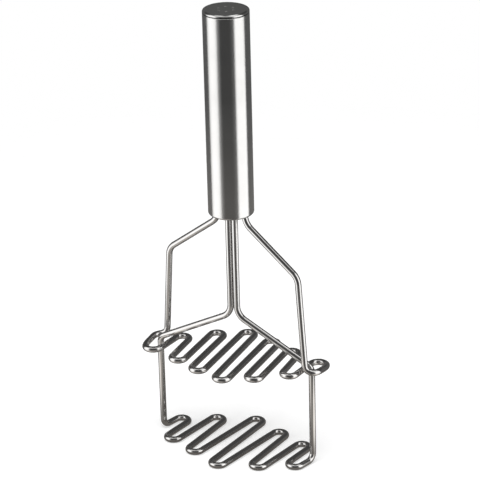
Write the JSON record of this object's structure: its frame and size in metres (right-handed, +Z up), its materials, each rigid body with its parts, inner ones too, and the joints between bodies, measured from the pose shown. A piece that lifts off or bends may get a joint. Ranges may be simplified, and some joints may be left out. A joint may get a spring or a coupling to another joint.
{
  "type": "potato masher",
  "caption": "Spring masher with a tubular steel handle: pressing it slides the upper serpentine wire grid down towards the lower one on its legs.",
  "frame": {"origin": "on the table under the lower grid, at the middle of the object's length and depth", "axes": "+Z up along the handle, X along the grids from leg to leg, front of the masher towards -Y"},
  "size_m": [0.112, 0.0664, 0.267],
  "materials": {
    "handle_steel": "satin",
    "turned_steel": "turned",
    "nylon": "matte",
    "spring_steel": "drawn",
    "polished_wire": "polished"
  },
  "bodies": {
    "lower_masher": {"lower_masher_wire": "polished_wire", "plunger": "turned_steel", "spring_washer": "turned_steel", "return_spring": "spring_steel"},
    "handle": {"handle_tube": "handle_steel", "handle_cap": "handle_steel", "guide_plug": "turned_steel", "guide_bush": "nylon", "stop_washer": "nylon", "spring_seat": "turned_steel", "upper_masher_wire": "polished_wire"}
  },
  "joints": [
    {"name": "press_slide", "type": "slide", "parent": "lower_masher", "child": "handle", "axis": [0, 0, -1], "range_m": [0, 0.036], "stiffness_N_per_m": 450, "springref_m": -0.03, "deforming": ["return_spring"]}
  ]
}
